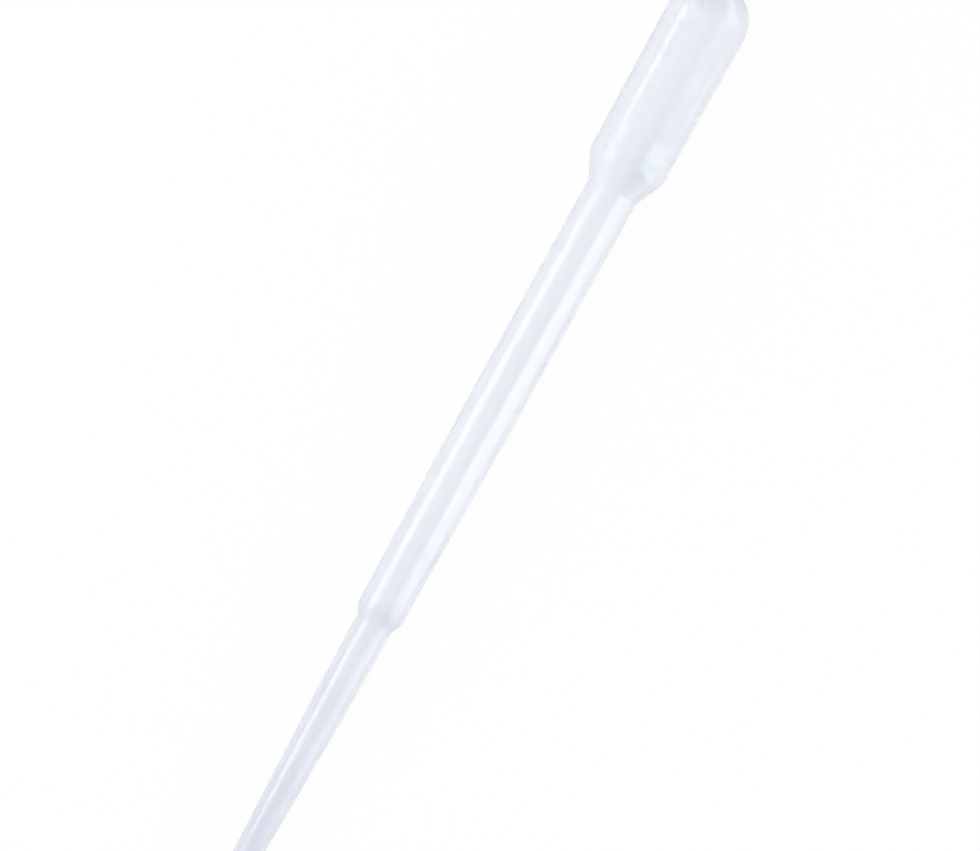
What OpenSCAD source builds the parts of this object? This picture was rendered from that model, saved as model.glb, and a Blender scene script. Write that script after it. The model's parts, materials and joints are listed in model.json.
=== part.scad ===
// One-piece dropper pipette, blown from translucent polyethylene.
// It lies on its side on the XY plane with its tip towards +X, and touches the plane at the edge of the
// bulb and at the edge of the step. The origin is under the middle of its length.

/* [Bulb] */
// Diameter of the bulb where its dome ends
bulb_d = 12.5; // [10:0.1:16]
// How much less the diameter is at the shoulder end of the bulb
bulb_taper = 0.4; // [0:0.1:1]
// Length from the crown of the dome to the shoulder
bulb_l = 30.9; // [20:0.1:50]
// Thickness of the bulb's wall
bulb_wall = 0.45; // [0.3:0.05:0.8]

/* [Shoulder] */
// Length of the cone between the bulb and the stem
shoulder_l = 4.2; // [3:0.1:8]
// Radius of the rounded edge between the bulb and the cone
shoulder_round = 4; // [1:0.1:5]
// Radius of the hollow between the cone and the stem
neck_round = 0.4; // [0.2:0.1:1]

/* [Stem] */
// Diameter of the straight part of the stem
stem_d = 8; // [6.6:0.1:9.6]
// Length of the straight part of the stem
stem_straight_l = 39.2; // [20:0.1:60]
// Length of the tapered part of the stem
stem_taper_l = 32; // [15:0.1:50]
// How much less the diameter is at the step
stem_taper = 0.65; // [0:0.05:0.8]
// Thickness of the stem's wall
stem_wall = 0.5; // [0.3:0.05:0.8]

/* [Step] */
// Length of the cone between the stem and the nozzle
step_l = 1.4; // [1:0.1:3]
// Radius of the rounded edge at the end of the stem
step_round = 1.6; // [1:0.1:2]
// Radius of the hollow where the nozzle begins
step_hollow = 0.5; // [0.2:0.1:0.8]

/* [Nozzle] */
// Diameter of the nozzle at the step
nozzle_d = 5.85; // [5.5:0.05:7.05]
// Diameter of the nozzle where its taper gets steeper
nozzle_waist_d = 5.45; // [4.6:0.05:5.5]
// Length of the nozzle's gentle taper
nozzle_upper_l = 15.2; // [8:0.1:25]
// Length of the nozzle's steeper taper
nozzle_lower_l = 28.1; // [15:0.1:40]
// Thickness of the nozzle's wall
nozzle_wall = 0.6; // [0.4:0.05:0.8]

/* [Tip] */
// Length of the straight tip
tip_l = 4; // [2:0.1:8]
// Outer diameter of the tip
tip_d = 4.05; // [3.6:0.05:4.5]
// Diameter of the hole in the tip
tip_bore_d = 2.8; // [1.8:0.1:3]
// Radius of the rounded rim of the tip
tip_round = 0.2; // [0.1:0.05:0.25]

/* [Hidden] */
$fn = 144;

// Radii
bulb_r = bulb_d / 2;
shoulder_r = (bulb_d - bulb_taper) / 2;
stem_r = stem_d / 2;
step_r = (stem_d - stem_taper) / 2;
nozzle_r = nozzle_d / 2;
waist_r = nozzle_waist_d / 2;
tip_r = tip_d / 2;
bore_r = tip_bore_d / 2;

// Distances from the crown, along the axis
neck_z = bulb_l + shoulder_l;
taper_z = neck_z + stem_straight_l;
step_z = taper_z + stem_taper_l;
nozzle_z = step_z + step_l;
waist_z = nozzle_z + nozzle_upper_l;
tip_z = waist_z + nozzle_lower_l;
end_z = tip_z + tip_l;

// How far the cavity's corners sit nearer the crown, so that the cones keep the wall's thickness
shoulder_shift = tan(atan2(shoulder_r - stem_r, shoulder_l) / 2);
step_shift = tan(atan2(step_r - nozzle_r, step_l) / 2);

// How far the cavity is cut past the end of the tip
past_end = 1;

// How much larger a rounding circle is than one that only touches the two sides of its corner, so that it
// crosses them cleanly
overlap = 1.0005;

// Corners of the skin and of the cavity, from the shoulder to the axis at the tip.
// Each is its radius, its distance along the axis and the radius that rounds it.
skin_corners = [
    [shoulder_r, bulb_l, shoulder_round],
    [stem_r, neck_z, neck_round],
    [stem_r, taper_z, 0],
    [step_r, step_z, step_round],
    [nozzle_r, nozzle_z, step_hollow],
    [waist_r, waist_z, 0],
    [tip_r, tip_z, 0],
    [tip_r, end_z, tip_round],
    [0, end_z, 0],
];
cavity_corners = [
    [shoulder_r - bulb_wall, bulb_l - bulb_wall * shoulder_shift, shoulder_round - bulb_wall],
    [stem_r - stem_wall, neck_z - stem_wall * shoulder_shift, neck_round + stem_wall],
    [stem_r - stem_wall, taper_z, 0],
    [step_r - stem_wall, step_z - stem_wall * step_shift, step_round - stem_wall],
    [nozzle_r - nozzle_wall, nozzle_z - nozzle_wall * step_shift, step_hollow + nozzle_wall],
    [waist_r - nozzle_wall, waist_z, 0],
    [bore_r, tip_z, 0],
    [bore_r, end_z + past_end, 0],
    [0, end_z + past_end, 0],
];

// The point of a corner, and the unit vector from one point towards another
function spot(corner) = [corner[0], corner[1]];
function towards(from, to) = (to - from) / norm(to - from);

// Half the angle inside corner i of the outline c, and the centre of the circle that rounds it
function half_angle(c, i) =
    acos(towards(spot(c[i]), spot(c[i - 1])) * towards(spot(c[i]), spot(c[i + 1]))) / 2;
function round_centre(c, i) =
    let (middle = towards(spot(c[i]), spot(c[i - 1])) + towards(spot(c[i]), spot(c[i + 1])))
    spot(c[i]) + middle / norm(middle) * c[i][2] / overlap / sin(half_angle(c, i));

// Where that circle meets the side that runs from corner i to its neighbour
function meet(c, i, neighbour) =
    spot(c[i]) + towards(spot(c[i]), spot(c[neighbour])) * c[i][2] / overlap / tan(half_angle(c, i));

// Whether corner i stands out, or is a hollow
function stands_out(c, i) = cross(spot(c[i]) - spot(c[i - 1]), spot(c[i + 1]) - spot(c[i])) > 0;

// An outline: the point where a dome of radius r meets the line to the first corner, then the corners
function outline(r, corners) =
    let (
        reach = spot(corners[0]) - [0, bulb_r],
        lean = atan2(reach[1], reach[0]) - acos(r / overlap / norm(reach))
    )
    concat([[r / overlap * cos(lean), bulb_r + r / overlap * sin(lean), 0]], corners);

// Half the section of a turned body: a dome of radius r, then the outline c
module half_section(r, c) {
    last = len(c) - 1;
    rounded = [for (i = [1:last - 1]) if (c[i][2] > 0) i];
    points = [
        for (i = [0:last])
            each c[i][2] > 0 ? [meet(c, i, i - 1), round_centre(c, i), meet(c, i, i + 1)] : [spot(c[i])]
    ];
    intersection() {
        difference() {
            union() {
                translate([0, bulb_r]) circle(r);
                polygon(concat([[0, bulb_r]], points));
                for (i = rounded)
                    if (stands_out(c, i)) translate(round_centre(c, i)) circle(c[i][2]);
            }
            for (i = rounded)
                if (!stands_out(c, i)) translate(round_centre(c, i)) circle(c[i][2]);
        }
        square([bulb_d, end_z + 2 * past_end]);
    }
}

skin = outline(bulb_r, skin_corners);
cavity = outline(bulb_r - bulb_wall, cavity_corners);

// The edges that can carry the pipette as it lies. Each is the circle that rounds it: its centre's radius
// and distance along the axis, and its own radius.
function edge(i) = concat(round_centre(skin, i), [skin[i][2]]);
bulb_edges = [[0, bulb_r, bulb_r], edge(1)];
stem_edges = [for (i = [2:len(skin) - 2]) if (stands_out(skin, i)) edge(i)];

// How far the axis dips when edges a and b both touch the plane
function dip(a, b) =
    atan2(a[0] - b[0], b[1] - a[1]) + asin((a[2] - b[2]) / norm([a[0] - b[0], a[1] - b[1]]));

// It lies on one edge of the bulb and one beyond it, with all the others clear of the plane
tilt = max([for (a = bulb_edges) min([for (b = stem_edges) dip(a, b)])]);
lift = max([for (e = concat(bulb_edges, stem_edges)) e[0] * cos(tilt) + e[1] * sin(tilt) + e[2]]);

// Where its two ends are along X, before it is centred
crown_x = bulb_r * cos(tilt) - bulb_r;
rim_x = (end_z - tip_round) * cos(tilt) + (tip_r - tip_round) * sin(tilt) + tip_round;

module pipette() {
    color([0.9, 0.93, 0.97])
        translate([-(crown_x + rim_x) / 2, 0, lift])
            rotate([0, 90 + tilt, 0])
                rotate_extrude()
                    difference() {
                        half_section(bulb_r, skin);
                        half_section(bulb_r - bulb_wall, cavity);
                    }
}

pipette();
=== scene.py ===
import json
import math

import bmesh
import bpy
from mathutils import Matrix, Vector, noise


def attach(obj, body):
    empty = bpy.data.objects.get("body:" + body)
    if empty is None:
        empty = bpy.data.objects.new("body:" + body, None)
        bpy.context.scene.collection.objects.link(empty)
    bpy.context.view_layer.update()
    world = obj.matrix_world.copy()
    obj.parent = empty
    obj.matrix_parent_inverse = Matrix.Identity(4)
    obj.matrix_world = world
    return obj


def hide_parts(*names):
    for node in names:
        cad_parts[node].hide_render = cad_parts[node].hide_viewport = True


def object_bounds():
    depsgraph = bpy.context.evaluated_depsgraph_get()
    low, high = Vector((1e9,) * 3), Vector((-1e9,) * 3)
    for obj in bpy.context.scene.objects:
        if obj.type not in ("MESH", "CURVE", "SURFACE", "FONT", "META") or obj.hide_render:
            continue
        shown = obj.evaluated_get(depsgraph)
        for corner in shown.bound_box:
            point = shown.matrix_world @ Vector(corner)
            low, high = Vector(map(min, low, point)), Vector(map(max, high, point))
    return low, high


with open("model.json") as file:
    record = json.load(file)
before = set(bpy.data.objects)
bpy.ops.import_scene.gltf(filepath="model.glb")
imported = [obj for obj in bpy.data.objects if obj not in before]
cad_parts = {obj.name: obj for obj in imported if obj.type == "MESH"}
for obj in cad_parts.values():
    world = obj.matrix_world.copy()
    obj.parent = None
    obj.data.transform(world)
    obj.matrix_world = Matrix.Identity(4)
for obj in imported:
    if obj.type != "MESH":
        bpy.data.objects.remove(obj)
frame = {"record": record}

MM = 0.001
cad_low, cad_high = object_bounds()

# ---------------------------------------------------------------------------------------------------------
# Sizes, in millimetres. Distances run along the axis from the crown of the bulb to the end of the tip.
# ---------------------------------------------------------------------------------------------------------

BULB_R = 6.25
BULB_WALL = 0.45
SHOULDER_R = 6.05
STEM_R = 4.0
STEM_WALL = 0.5
STEP_R = 3.675
NOZZLE_R = 2.925
NOZZLE_WALL = 0.6
WAIST_R = 2.725
TIP_R = 2.025
BORE_R = 1.4

SHOULDER_AT = 30.9
NECK_AT = 35.1
TAPER_AT = 74.3
STEP_AT = 106.3
NOZZLE_AT = 107.7
WAIST_AT = 122.9
TIP_AT = 151.0
END_AT = 155.0

SHOULDER_ROUND = 4.0
NECK_ROUND = 0.4
STEP_ROUND = 1.6
STEP_HOLLOW = 0.5
RIM_ROUND = 0.2
BORE_ROUND = 0.08

# The flat ring at the end of the tip starts at this radius
RING_R = BORE_R + BORE_ROUND * 2

# The skin lies a little in from its nominal place, to leave room for its unevenness and its parting line
SKIN_CLEAR = 0.01
SKIN_SLACK = 0.035
PARTING_HEIGHT = 0.015
PARTING_WIDTH = 0.11

# The unevenness is a middle level with slow and quick noise on it. Each noise has its share, its turns in a
# millimetre along the axis, and its spread round the axis, where the quick one's multiplies the slow one's.
# The seeds pick which part of the noise is used. The cavity's wall has a smaller share of the unevenness.
MIDDLE_LEVEL = 0.5
SLOW_SHARE = 0.42
SLOW_TURNS = 0.045
SLOW_SPREAD = 1.1
QUICK_SHARE = 0.16
QUICK_TURNS = 0.16
QUICK_SPREAD = 1.7
QUICK_SEED = 3.1
SKIN_SEED = 2.3
CAVITY_SEED = 7.9
CAVITY_SHARE = 0.5

# Mesh fineness. Beside each parting line there are more angles, this many turn steps away from it.
RUN_STEP = 1.0
ARC_STEP = math.radians(6)
TURN_STEP = math.radians(2.5)
EXTRA_TURNS = (0.25, 0.5, 0.75, 1.5, 2.5)
LEAST_ARC = 3
ON_AXIS = 1e-6


# ---------------------------------------------------------------------------------------------------------
# The pipette's place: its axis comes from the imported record's mounts
# ---------------------------------------------------------------------------------------------------------

mounts = {mount["name"]: mount for mount in frame["record"]["mounts"]}
tip_bore = mounts["tip_bore"]
AXIS = Vector(tip_bore["axis"]).normalized()
SIDE = Vector((0, 1, 0))
UP = AXIS.cross(SIDE)
TIP_END = Vector(tip_bore["pos_m"]) + AXIS * tip_bore["dims"]["length_mm"] / 2 * MM
CROWN = TIP_END - AXIS * END_AT * MM


# ---------------------------------------------------------------------------------------------------------
# Outlines: lists of (distance along the axis, radius)
# ---------------------------------------------------------------------------------------------------------

def run(start, end):
    """Points of a straight side, without its last one."""
    count = max(1, math.ceil((end - start).length / RUN_STEP))
    return [start.lerp(end, i / count) for i in range(count)]


def arc(centre, radius, start, end):
    """Points of an arc between two angles, both ends included."""
    count = max(LEAST_ARC, math.ceil(abs(end - start) / ARC_STEP))
    angles = [start + (end - start) * i / count for i in range(count + 1)]
    return [centre + radius * Vector((math.cos(a), math.sin(a))) for a in angles]


def rounding(before, corner, after, radius):
    """Points of the arc that rounds a corner."""
    to_before = (before - corner).normalized()
    to_after = (after - corner).normalized()
    half = to_before.angle(to_after) / 2
    centre = corner + (to_before + to_after).normalized() * radius / math.sin(half)
    reach = radius / math.tan(half)
    first = corner + to_before * reach - centre
    last = corner + to_after * reach - centre
    start = math.atan2(first.y, first.x)
    turn = math.atan2(first.x * last.y - first.y * last.x, first.dot(last))
    return arc(centre, radius, start, start + turn)


def outline(dome_r, corners):
    """A dome round the bulb's centre, then straight sides between corners.

    Each corner is its distance along the axis, its radius and the radius that rounds it."""
    centre = Vector((BULB_R, 0))
    reach = Vector(corners[0][:2]) - centre
    lean = math.atan2(reach.y, reach.x) + math.acos(dome_r / reach.length)
    points = arc(centre, dome_r, math.pi, lean)
    spots = [Vector(corner[:2]) for corner in corners]
    for i, (_, _, roundness) in enumerate(corners):
        if roundness and i < len(corners) - 1:
            before = points[-1] if i == 0 else spots[i - 1]
            bend = rounding(before, spots[i], spots[i + 1], roundness)
        else:
            bend = [spots[i]]
        points += run(points[-1], bend[0])[1:] + bend
    return points


# How far the cavity's corners sit nearer the crown, so that the cones keep the wall's thickness
shoulder_shift = math.tan(math.atan2(SHOULDER_R - STEM_R, NECK_AT - SHOULDER_AT) / 2)
step_shift = math.tan(math.atan2(STEP_R - NOZZLE_R, NOZZLE_AT - STEP_AT) / 2)

SKIN = outline(BULB_R, [
    (SHOULDER_AT, SHOULDER_R, SHOULDER_ROUND),
    (NECK_AT, STEM_R, NECK_ROUND),
    (TAPER_AT, STEM_R, 0),
    (STEP_AT, STEP_R, STEP_ROUND),
    (NOZZLE_AT, NOZZLE_R, STEP_HOLLOW),
    (WAIST_AT, WAIST_R, 0),
    (TIP_AT, TIP_R, 0),
    (END_AT, TIP_R, RIM_ROUND),
    (END_AT, RING_R, 0),
])
CAVITY = outline(BULB_R - BULB_WALL, [
    (SHOULDER_AT - BULB_WALL * shoulder_shift, SHOULDER_R - BULB_WALL, SHOULDER_ROUND - BULB_WALL),
    (NECK_AT - STEM_WALL * shoulder_shift, STEM_R - STEM_WALL, NECK_ROUND + STEM_WALL),
    (TAPER_AT, STEM_R - STEM_WALL, 0),
    (STEP_AT - STEM_WALL * step_shift, STEP_R - STEM_WALL, STEP_ROUND - STEM_WALL),
    (NOZZLE_AT - NOZZLE_WALL * step_shift, NOZZLE_R - NOZZLE_WALL, STEP_HOLLOW + NOZZLE_WALL),
    (WAIST_AT, WAIST_R - NOZZLE_WALL, 0),
    (TIP_AT, BORE_R, 0),
    (END_AT, BORE_R, BORE_ROUND),
    (END_AT, RING_R, 0),
])


# ---------------------------------------------------------------------------------------------------------
# The pipette's mesh: both outlines turned round the axis, with the unevenness of a blown part
# ---------------------------------------------------------------------------------------------------------

def turn_angles():
    """Angles round the axis, closer together beside the two parting lines at plus and minus SIDE."""
    angles = [i * TURN_STEP for i in range(round(2 * math.pi / TURN_STEP))]
    for side in (math.pi / 2, 3 * math.pi / 2):
        for turns in EXTRA_TURNS:
            angles += [side - TURN_STEP * turns, side + TURN_STEP * turns]
    return sorted(set(round(a, 6) for a in angles))


def unevenness(along, angle, seed):
    """How far the blown wall lies in from its nominal place, from 0 to SKIN_SLACK, in millimetres."""
    round_part = Vector((math.cos(angle), math.sin(angle), 0)) * SLOW_SPREAD
    slow = noise.noise(Vector((along * SLOW_TURNS + seed, 0, 0)) + round_part)
    quick = noise.noise(Vector((along * QUICK_TURNS, seed * QUICK_SEED, 0)) + round_part * QUICK_SPREAD)
    level = MIDDLE_LEVEL + SLOW_SHARE * slow + QUICK_SHARE * quick
    return SKIN_SLACK * min(1.0, max(0.0, level))


def spot(along, radius, angle):
    """A point of the pipette in the row's frame, in metres."""
    return CROWN + MM * (AXIS * along + radius * (UP * math.cos(angle) + SIDE * math.sin(angle)))


def skin_spot(along, radius, angle):
    """A point of the outside, drawn in a little except along the parting line, which stands out."""
    from_line = abs(radius * math.cos(angle))
    line = math.exp(-(from_line / PARTING_WIDTH) ** 2)
    inset = SKIN_CLEAR + max(unevenness(along, angle, SKIN_SEED), PARTING_HEIGHT) * (1 - line)
    if along < BULB_R:
        centre = Vector((BULB_R, 0))
        drawn = centre + (Vector((along, radius)) - centre) * (1 - inset / BULB_R)
        return spot(drawn.x, drawn.y, angle)
    return spot(along, max(radius - inset, 0), angle)


def cavity_spot(along, radius, angle):
    """A point of the cavity's wall."""
    return spot(along, radius - unevenness(along, angle, CAVITY_SEED) * CAVITY_SHARE, angle)


def add_rings(mesh, outline_points, angles, place):
    """Adds one ring of vertices for each point of an outline, and one vertex at a point on the axis."""
    rings = []
    for along, radius in outline_points:
        if radius < ON_AXIS:
            rings.append([mesh.verts.new(place(along, 0, 0))])
        else:
            rings.append([mesh.verts.new(place(along, radius, angle)) for angle in angles])
    return rings


def join_rings(mesh, rings, slot):
    """Joins each ring to the next with faces, as a fan where one of them is a single vertex."""
    for one, other in zip(rings, rings[1:]):
        count = max(len(one), len(other))
        for i in range(count):
            j = (i + 1) % count
            corners = [one[i % len(one)], one[j % len(one)], other[j % len(other)], other[i % len(other)]]
            face = mesh.faces.new(list(dict.fromkeys(corners)))
            face.material_index = slot
            face.smooth = True


def make_pipette():
    """The one blown piece: skin, rim and cavity as one closed mesh."""
    mesh = bmesh.new()
    angles = turn_angles()
    skin = add_rings(mesh, SKIN, angles, skin_spot)
    cavity = add_rings(mesh, CAVITY[:-1], angles, cavity_spot)
    join_rings(mesh, skin + cavity[-1:], 0)
    join_rings(mesh, cavity, 1)
    bmesh.ops.recalc_face_normals(mesh, faces=mesh.faces)
    data = bpy.data.meshes.new("pipette_blown")
    mesh.to_mesh(data)
    mesh.free()
    piece = bpy.data.objects.new("pipette_blown", data)
    bpy.context.collection.objects.link(piece)
    return piece


# ---------------------------------------------------------------------------------------------------------
# Materials
# ---------------------------------------------------------------------------------------------------------

# The skin and the duller inside share the milkiness of the wall. Each has its colour where the wall is thin
# and where it is thick, its range of roughness, and how clear it is.
SKIN_LOOK = {
    "thin": (0.928, 0.952, 0.996),
    "thick": (0.81, 0.83, 0.875),
    "roughness": (0.05, 0.08),
    "clearness": 0.55,
}
INSIDE_LOOK = {
    "thin": (0.977, 0.988, 1.0),
    "thick": (0.73, 0.79, 0.95),
    "roughness": (0.2, 0.3),
    "clearness": 1.0,
}
REFRACTION = 1.51

# How thick the wall looks, from 0 to 1, by millimetres along the axis
THICKNESS = [
    (0, 0.1), (7, 0.05), (28, 0.05), (32.5, 0.2), (36, 0.05), (80, 0.1), (103, 0.2), (107, 0.45),
    (110, 0.35), (125, 0.5), (140, 0.75), (155, 0.95),
]

# Painted shade: one side of the wall is darker ahead of the shoulder, along the bulb and ahead of the step,
# painted in for the dark room mirrored there.
# It lies its roll in degrees from the top towards SIDE, and fades away over its width in degrees.
PAINTED_SHADE_ROLL = 23
PAINTED_SHADE_WIDTH = 29
PAINTED_SHADE_TINT = (0.77, 0.82, 0.865)
PAINTED_SHADE_ALONG = [
    (0, 0), (12, 0.05), (20, 0.2), (28, 0.36), (29.5, 0.52), (31.4, 0.63), (33.4, 0.36), (35.6, 0),
    (80, 0), (97, 0.06), (103, 0.17), (106.5, 0.52), (108, 0.2), (112, 0),
]

# Clouds in the plastic, and the streaks and waves of its surface. A noise's scale is its turns in a metre.
# A range is the part of a noise's values that is spread over what it steers.
CLOUD_TINT = (0.935, 0.95, 0.975)
CLOUD_SCALE = 220
CLOUD_RANGE = (0.3, 0.7)
CLOUD_DEPTH = 0.3
STREAK_SQUEEZE = 0.25
STREAK_SCALE = 900
STREAK_RANGE = (0.25, 0.75)
STREAK_SHARE = 0.05
WAVE_SCALE = 280
WAVE_DETAIL = (2.0, 0.3)
WAVE_HEIGHT = 0.00015

# What is left of a lamp's light that has passed one surface of the plastic
PASSING_LIGHT = (0.9, 0.915, 0.95)

WHITE = (1, 1, 1, 1)
TABLE_WHITE = (0.9, 0.9, 0.9)
TABLE_GLOW = 1.012
TABLE_GLOW_SHARE = 0.85


class Nodes:
    """A short way to make and link shader nodes."""

    def __init__(self, owner):
        owner.use_nodes = True
        self.tree = owner.node_tree
        self.tree.nodes.clear()

    def new(self, kind, *inputs, **settings):
        """A node of this kind. Its inputs, in its own order, are plain values or other nodes' outputs."""
        node = self.tree.nodes.new("ShaderNode" + kind)
        for name, value in settings.items():
            setattr(node, name, value)
        for socket, value in zip([s for s in node.inputs if s.enabled], inputs):
            self.set(socket, value)
        return node

    def set(self, socket, value):
        """Links a node's output to a socket, or sets the socket to a plain value."""
        if isinstance(value, bpy.types.NodeSocket):
            self.tree.links.new(value, socket)
        else:
            socket.default_value = value

    def math(self, operation, *inputs):
        return self.new("Math", *inputs, operation=operation).outputs[0]

    def vector(self, operation, *inputs):
        return self.new("VectorMath", *inputs, operation=operation)

    def remap(self, value, source, target):
        """Spreads the values of one range smoothly over another."""
        node = self.new("MapRange", value, *source, *target, interpolation_type="SMOOTHSTEP")
        return node.outputs[0]

    def blend(self, share, one, other, blend_type="MIX"):
        """A mix of two colours."""
        node = self.new("Mix", data_type="RGBA", blend_type=blend_type)
        for name, value in (("Factor_Float", share), ("A_Color", one), ("B_Color", other)):
            self.set(next(s for s in node.inputs if s.identifier == name), value)
        return next(s for s in node.outputs if s.identifier == "Result_Color")

    def ramp(self, along, stops):
        """A level that runs smoothly between stops, which are millimetres along the axis."""
        node = self.new("ValToRGB", self.math("DIVIDE", along, END_AT * MM))
        ramp = node.color_ramp
        ramp.interpolation = "EASE"
        for i, (at, level) in enumerate(stops):
            stop = ramp.elements[i] if i < 2 else ramp.elements.new(at / END_AT)
            stop.position = at / END_AT
            stop.color = (level, level, level, 1)
        return node.outputs[0]

    def noise(self, place, scale, detail=2.0, roughness=0.5):
        return self.new("TexNoise", place, scale, detail, roughness).outputs[0]


def rgba(colour):
    return (*colour, 1)


def axis_place(make):
    """A place in the plastic, the same seen from the crown, and how far it is along the axis."""
    place = make.new("TexCoord").outputs["Object"]
    from_crown = make.vector("SUBTRACT", place, tuple(CROWN)).outputs[0]
    along = make.vector("DOT_PRODUCT", from_crown, tuple(AXIS)).outputs["Value"]
    return place, from_crown, along


def streak_place(make, from_crown, along):
    """The place with the axis squeezed, so that noise runs in streaks along it."""
    squeezed = make.vector("SCALE", tuple(AXIS))
    make.set(squeezed.inputs["Scale"], make.math("MULTIPLY", along, STREAK_SQUEEZE - 1))
    return make.vector("ADD", from_crown, squeezed.outputs[0]).outputs[0]


def painted_shade_side(make, from_crown, along):
    """Where the shade is painted on the wall, from 0 to 1."""
    sideways = make.vector("DOT_PRODUCT", from_crown, tuple(SIDE)).outputs["Value"]
    upward = make.vector("DOT_PRODUCT", from_crown, tuple(UP)).outputs["Value"]
    roll = make.math("ARCTAN2", sideways, upward)
    away = make.math("ABSOLUTE", make.math("SUBTRACT", roll, math.radians(PAINTED_SHADE_ROLL)))
    near = make.remap(away, (0.0, math.radians(PAINTED_SHADE_WIDTH)), (1.0, 0.0))
    return make.math("MULTIPLY", near, make.ramp(along, PAINTED_SHADE_ALONG))


def wall_colour(make, look, place, from_crown, along):
    """The plastic's colour: by thickness along the axis, with painted shade on one side, with slow clouds.
    """
    colour = make.blend(make.ramp(along, THICKNESS), rgba(look["thin"]), rgba(look["thick"]))
    # Painted shade: a darker, bluer tint multiplied in on one side ahead of the shoulder, along the bulb and
    # ahead of the step.
    colour = make.blend(painted_shade_side(make, from_crown, along), colour, rgba(PAINTED_SHADE_TINT), "MULTIPLY")
    cloud = make.remap(make.noise(place, CLOUD_SCALE), CLOUD_RANGE, (0.0, CLOUD_DEPTH))
    return make.blend(cloud, colour, rgba(CLOUD_TINT))


def polyethylene(name, look):
    """Milky, slightly bluish natural polyethylene with a soft gloss. Lamps shine through it."""
    material = bpy.data.materials.new(name)
    make = Nodes(material)
    place, from_crown, along = axis_place(make)
    fine_streaks = make.noise(streak_place(make, from_crown, along), STREAK_SCALE)
    waves = make.noise(place, WAVE_SCALE, *WAVE_DETAIL)
    bump = make.new("Bump", 1.0, WAVE_HEIGHT)
    height = make.math("ADD", waves, make.math("MULTIPLY", fine_streaks, STREAK_SHARE))
    make.set(bump.inputs["Height"], height)
    shader = make.new("BsdfPrincipled")
    make.set(shader.inputs["Base Color"], wall_colour(make, look, place, from_crown, along))
    make.set(shader.inputs["Roughness"], make.remap(fine_streaks, STREAK_RANGE, look["roughness"]))
    make.set(shader.inputs["IOR"], REFRACTION)
    make.set(shader.inputs["Transmission Weight"], look["clearness"])
    make.set(shader.inputs["Normal"], bump.outputs[0])
    passing = make.new("BsdfTransparent", rgba(PASSING_LIGHT))
    shadow = make.new("LightPath").outputs["Is Shadow Ray"]
    mix = make.new("MixShader", shadow, shader.outputs[0], passing.outputs[0])
    make.new("OutputMaterial", mix.outputs[0])
    return material


def white_table():
    """A white surface. The camera, and rays that glossy or clear surfaces send on, see it glow as well."""
    material = bpy.data.materials.new("white_table")
    material.cycles.emission_sampling = "NONE"
    make = Nodes(material)
    path = make.new("LightPath").outputs
    seen = make.math("MAXIMUM", path["Is Camera Ray"], path["Is Glossy Ray"])
    share = make.math("MAXIMUM", make.math("MULTIPLY", seen, TABLE_GLOW_SHARE), path["Is Transmission Ray"])
    diffuse = make.new("BsdfDiffuse", rgba(TABLE_WHITE))
    glow = make.new("Emission", WHITE, TABLE_GLOW)
    mix = make.new("MixShader", share, diffuse.outputs[0], glow.outputs[0])
    make.new("OutputMaterial", mix.outputs[0])
    return material


# ---------------------------------------------------------------------------------------------------------
# Stage, light and camera
# ---------------------------------------------------------------------------------------------------------

FLOOR_HALF = 4.0
FLOOR_GAP = 0.02

# The camera looks straight down. Its frame's upright lies LEAN away from the pipette's axis. It aims at the
# table under the middle of the CAD box, moved by AIM, and sees VIEW_WIDTH there. Both are in millimetres.
LEAN = math.radians(28.85)
VIEW_WIDTH = 144.6
CAMERA_LENS = 150
AIM = Vector((-3.6, 0.86, 5.0))

# The room's light by part, beside a white of 1. The band is across the pipette, between the two ends.
ROOM = {
    "band_top": 1.35, "band_dark": 0.68, "band_right": 0.14, "left": 1.52, "right": 2.56,
    "crown_top": 0.28, "tip_top": 1.14, "far_right": 0.9,
}

# Where those parts fade into each other: rolls in degrees from straight up, and for the two ends how much of
# a direction runs along X
SIDE_FADE = (40, 65)
MIDDLE_FADE = (-12, 12)
DARK_FADE = (0, 18)
END_FADE = (0.12, 0.32)

# Oblong lamps beside the pipette, each placed where a part of the wall mirrors it to the camera: which side,
# twice the wall's roll in degrees, how many degrees wide, the stretch of the pipette, how many degrees the
# wall slopes down towards the tip, and how bright the lamp's face is beside a white of 1
LAMP_DISTANCE = 0.5
LAMPS = {
    "left_bulb": (-1, 69.5, 18, 5, 31, 0, 2.85),
    "left_shoulder": (-1, 67, 22, 16, 50, 26, 0.85),
    "left_stem": (-1, 59, 28, 34, 107, 0, 2.1),
    "left_nozzle": (-1, 58, 32, 108, 163, 0, 2.1),
    "right_bulb": (1, 56, 40, 12, 31, 0, 0.48),
    "right_stem": (1, 67, 62, 33, 106, 0, 1.87),
    "right_nozzle": (1, 75, 40, 108, 163, 0, 1.33),
}


def make_floor():
    """A plain white table, just under the pipette."""
    data = bpy.data.meshes.new("floor")
    level = cad_low.z - FLOOR_GAP * MM
    signs = [(-1, -1), (1, -1), (1, 1), (-1, 1)]
    data.from_pydata([(x * FLOOR_HALF, y * FLOOR_HALF, level) for x, y in signs], [], [(0, 1, 2, 3)])
    floor = bpy.data.objects.new("floor", data)
    bpy.context.collection.objects.link(floor)
    data.materials.append(white_table())


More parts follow.
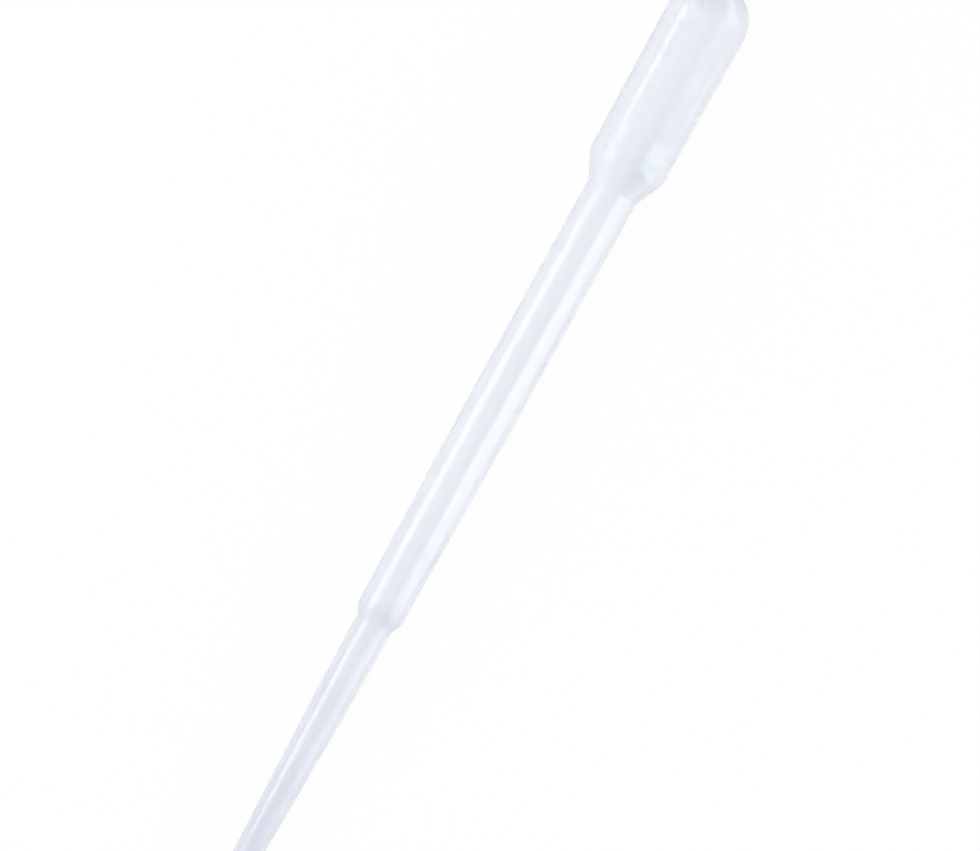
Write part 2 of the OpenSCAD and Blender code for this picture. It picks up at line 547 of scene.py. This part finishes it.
def room_shares(make):
    """How much each part of the room counts in a direction.

    The roll is the angle from straight up, towards SIDE, seen along the axis."""
    toward = make.new("SeparateXYZ", make.new("TexCoord").outputs["Generated"]).outputs
    roll = make.math("ARCTAN2", toward["Y"], toward["Z"])
    side_from, side_to = map(math.radians, SIDE_FADE)
    end_from, end_to = END_FADE
    left = make.remap(roll, (-side_from, -side_to), (0.0, 1.0))
    right = make.remap(roll, (side_from, side_to), (0.0, 1.0))
    rightward = make.remap(roll, map(math.radians, MIDDLE_FADE), (0.0, 1.0))
    past_top = make.remap(roll, map(math.radians, DARK_FADE), (0.0, 1.0))
    tip = make.remap(toward["X"], (end_from, end_to), (0.0, 1.0))
    crown = make.remap(toward["X"], (-end_from, -end_to), (0.0, 1.0))
    ends = make.math("ADD", tip, crown)
    band = make.math("SUBTRACT", 1.0, ends)
    top = make.math("SUBTRACT", 1.0, make.math("ADD", left, right))
    band_top = make.math("MULTIPLY", band, top)
    band_dark = make.math("MULTIPLY", band_top, past_top)
    tip_not_left = make.math("MULTIPLY", tip, make.math("SUBTRACT", 1.0, left))
    return {
        "band_top": make.math("SUBTRACT", band_top, band_dark),
        "band_dark": band_dark,
        "band_right": make.math("MULTIPLY", band, right),
        "left": make.math("MULTIPLY", left, ends),
        "right": make.math("MULTIPLY", crown, right),
        "crown_top": make.math("MULTIPLY", crown, top),
        "tip_top": make.math("MULTIPLY", tip_not_left, make.math("SUBTRACT", 1.0, rightward)),
        "far_right": make.math("MULTIPLY", tip, rightward),
    }


def make_world(levels):
    """A pale room. The camera, and rays that have come through the plastic, see it plain white."""
    world = bpy.data.worlds.new("room")
    world.cycles.sampling_method = "NONE"
    bpy.context.scene.world = world
    make = Nodes(world)
    shares = room_shares(make)
    light = 0.0
    for part, level in levels.items():
        light = make.math("ADD", light, make.math("MULTIPLY", shares[part], level))
    path = make.new("LightPath").outputs
    seen = make.math("MAXIMUM", path["Is Camera Ray"], path["Is Transmission Ray"])
    unseen = make.math("SUBTRACT", 1.0, seen)
    strength = make.math("ADD", make.math("MULTIPLY", light, unseen), seen)
    background = make.new("Background", WHITE, strength)
    make.new("OutputWorld", background.outputs[0])


def mirrored_spot(along, roll, slope, eye):
    """Where a lamp has to be for the camera at eye to see it mirrored in the wall this far along it."""
    outward = UP * math.cos(roll / 2) + SIDE * math.sin(roll / 2)
    normal = outward * math.cos(slope) + AXIS * math.sin(slope)
    point = CROWN + AXIS * along * MM
    ray = (point - eye).normalized()
    return point + (ray - 2 * ray.dot(normal) * normal) * LAMP_DISTANCE


def turned(x_axis, y_axis, z_axis, place):
    """The matrix of an object at a place, with these axes."""
    return Matrix.Translation(place) @ Matrix((x_axis, y_axis, z_axis)).transposed().to_4x4()


def make_lamp(name, side, twice_roll, width, start, end, slope, brightness, eye):
    """An oblong lamp along the pipette, facing it."""
    roll = side * math.radians(twice_roll)
    first = mirrored_spot(start, roll, math.radians(slope), eye)
    last = mirrored_spot(end, roll, math.radians(slope), eye)
    middle = (first + last) / 2
    data = bpy.data.lights.new(name, "AREA")
    data.shape = "RECTANGLE"
    data.size = (last - first).length
    data.size_y = 2 * LAMP_DISTANCE * math.tan(math.radians(width) / 2)
    data.energy = brightness * math.pi * data.size * data.size_y
    run_axis = (last - first).normalized()
    away = middle - (CROWN + AXIS * (start + end) / 2 * MM)
    away = (away - run_axis * away.dot(run_axis)).normalized()
    lamp = bpy.data.objects.new(name, data)
    lamp.matrix_world = turned(run_axis, away.cross(run_axis), away, middle)
    lamp.visible_camera = False
    bpy.context.collection.objects.link(lamp)


def make_camera():
    """Looks straight down, with the pipette slanting from the upper right to the lower left."""
    data = bpy.data.cameras.new("camera")
    data.lens = CAMERA_LENS
    distance = VIEW_WIDTH * MM / 2 / math.tan(data.angle / 2)
    right = Vector((-math.sin(LEAN), math.cos(LEAN), 0))
    up = Vector((-math.cos(LEAN), -math.sin(LEAN), 0))
    back = Vector((0, 0, 1))
    middle = (cad_low + cad_high) / 2
    target = Vector((middle.x, middle.y, 0)) + AIM * MM
    camera = bpy.data.objects.new("camera", data)
    camera.matrix_world = turned(right, up, back, target + back * distance)
    bpy.context.collection.objects.link(camera)
    bpy.context.scene.camera = camera
    return camera


pipette = make_pipette()
pipette.data.materials.append(polyethylene("polyethylene_skin", SKIN_LOOK))
pipette.data.materials.append(polyethylene("polyethylene_inside", INSIDE_LOOK))
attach(pipette, "root")
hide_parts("pipette")

make_floor()
make_world(ROOM)
camera = make_camera()
for lamp_name, lamp_values in LAMPS.items():
    make_lamp(lamp_name, *lamp_values, camera.matrix_world.translation)

bpy.context.scene.view_settings.view_transform = "Standard"
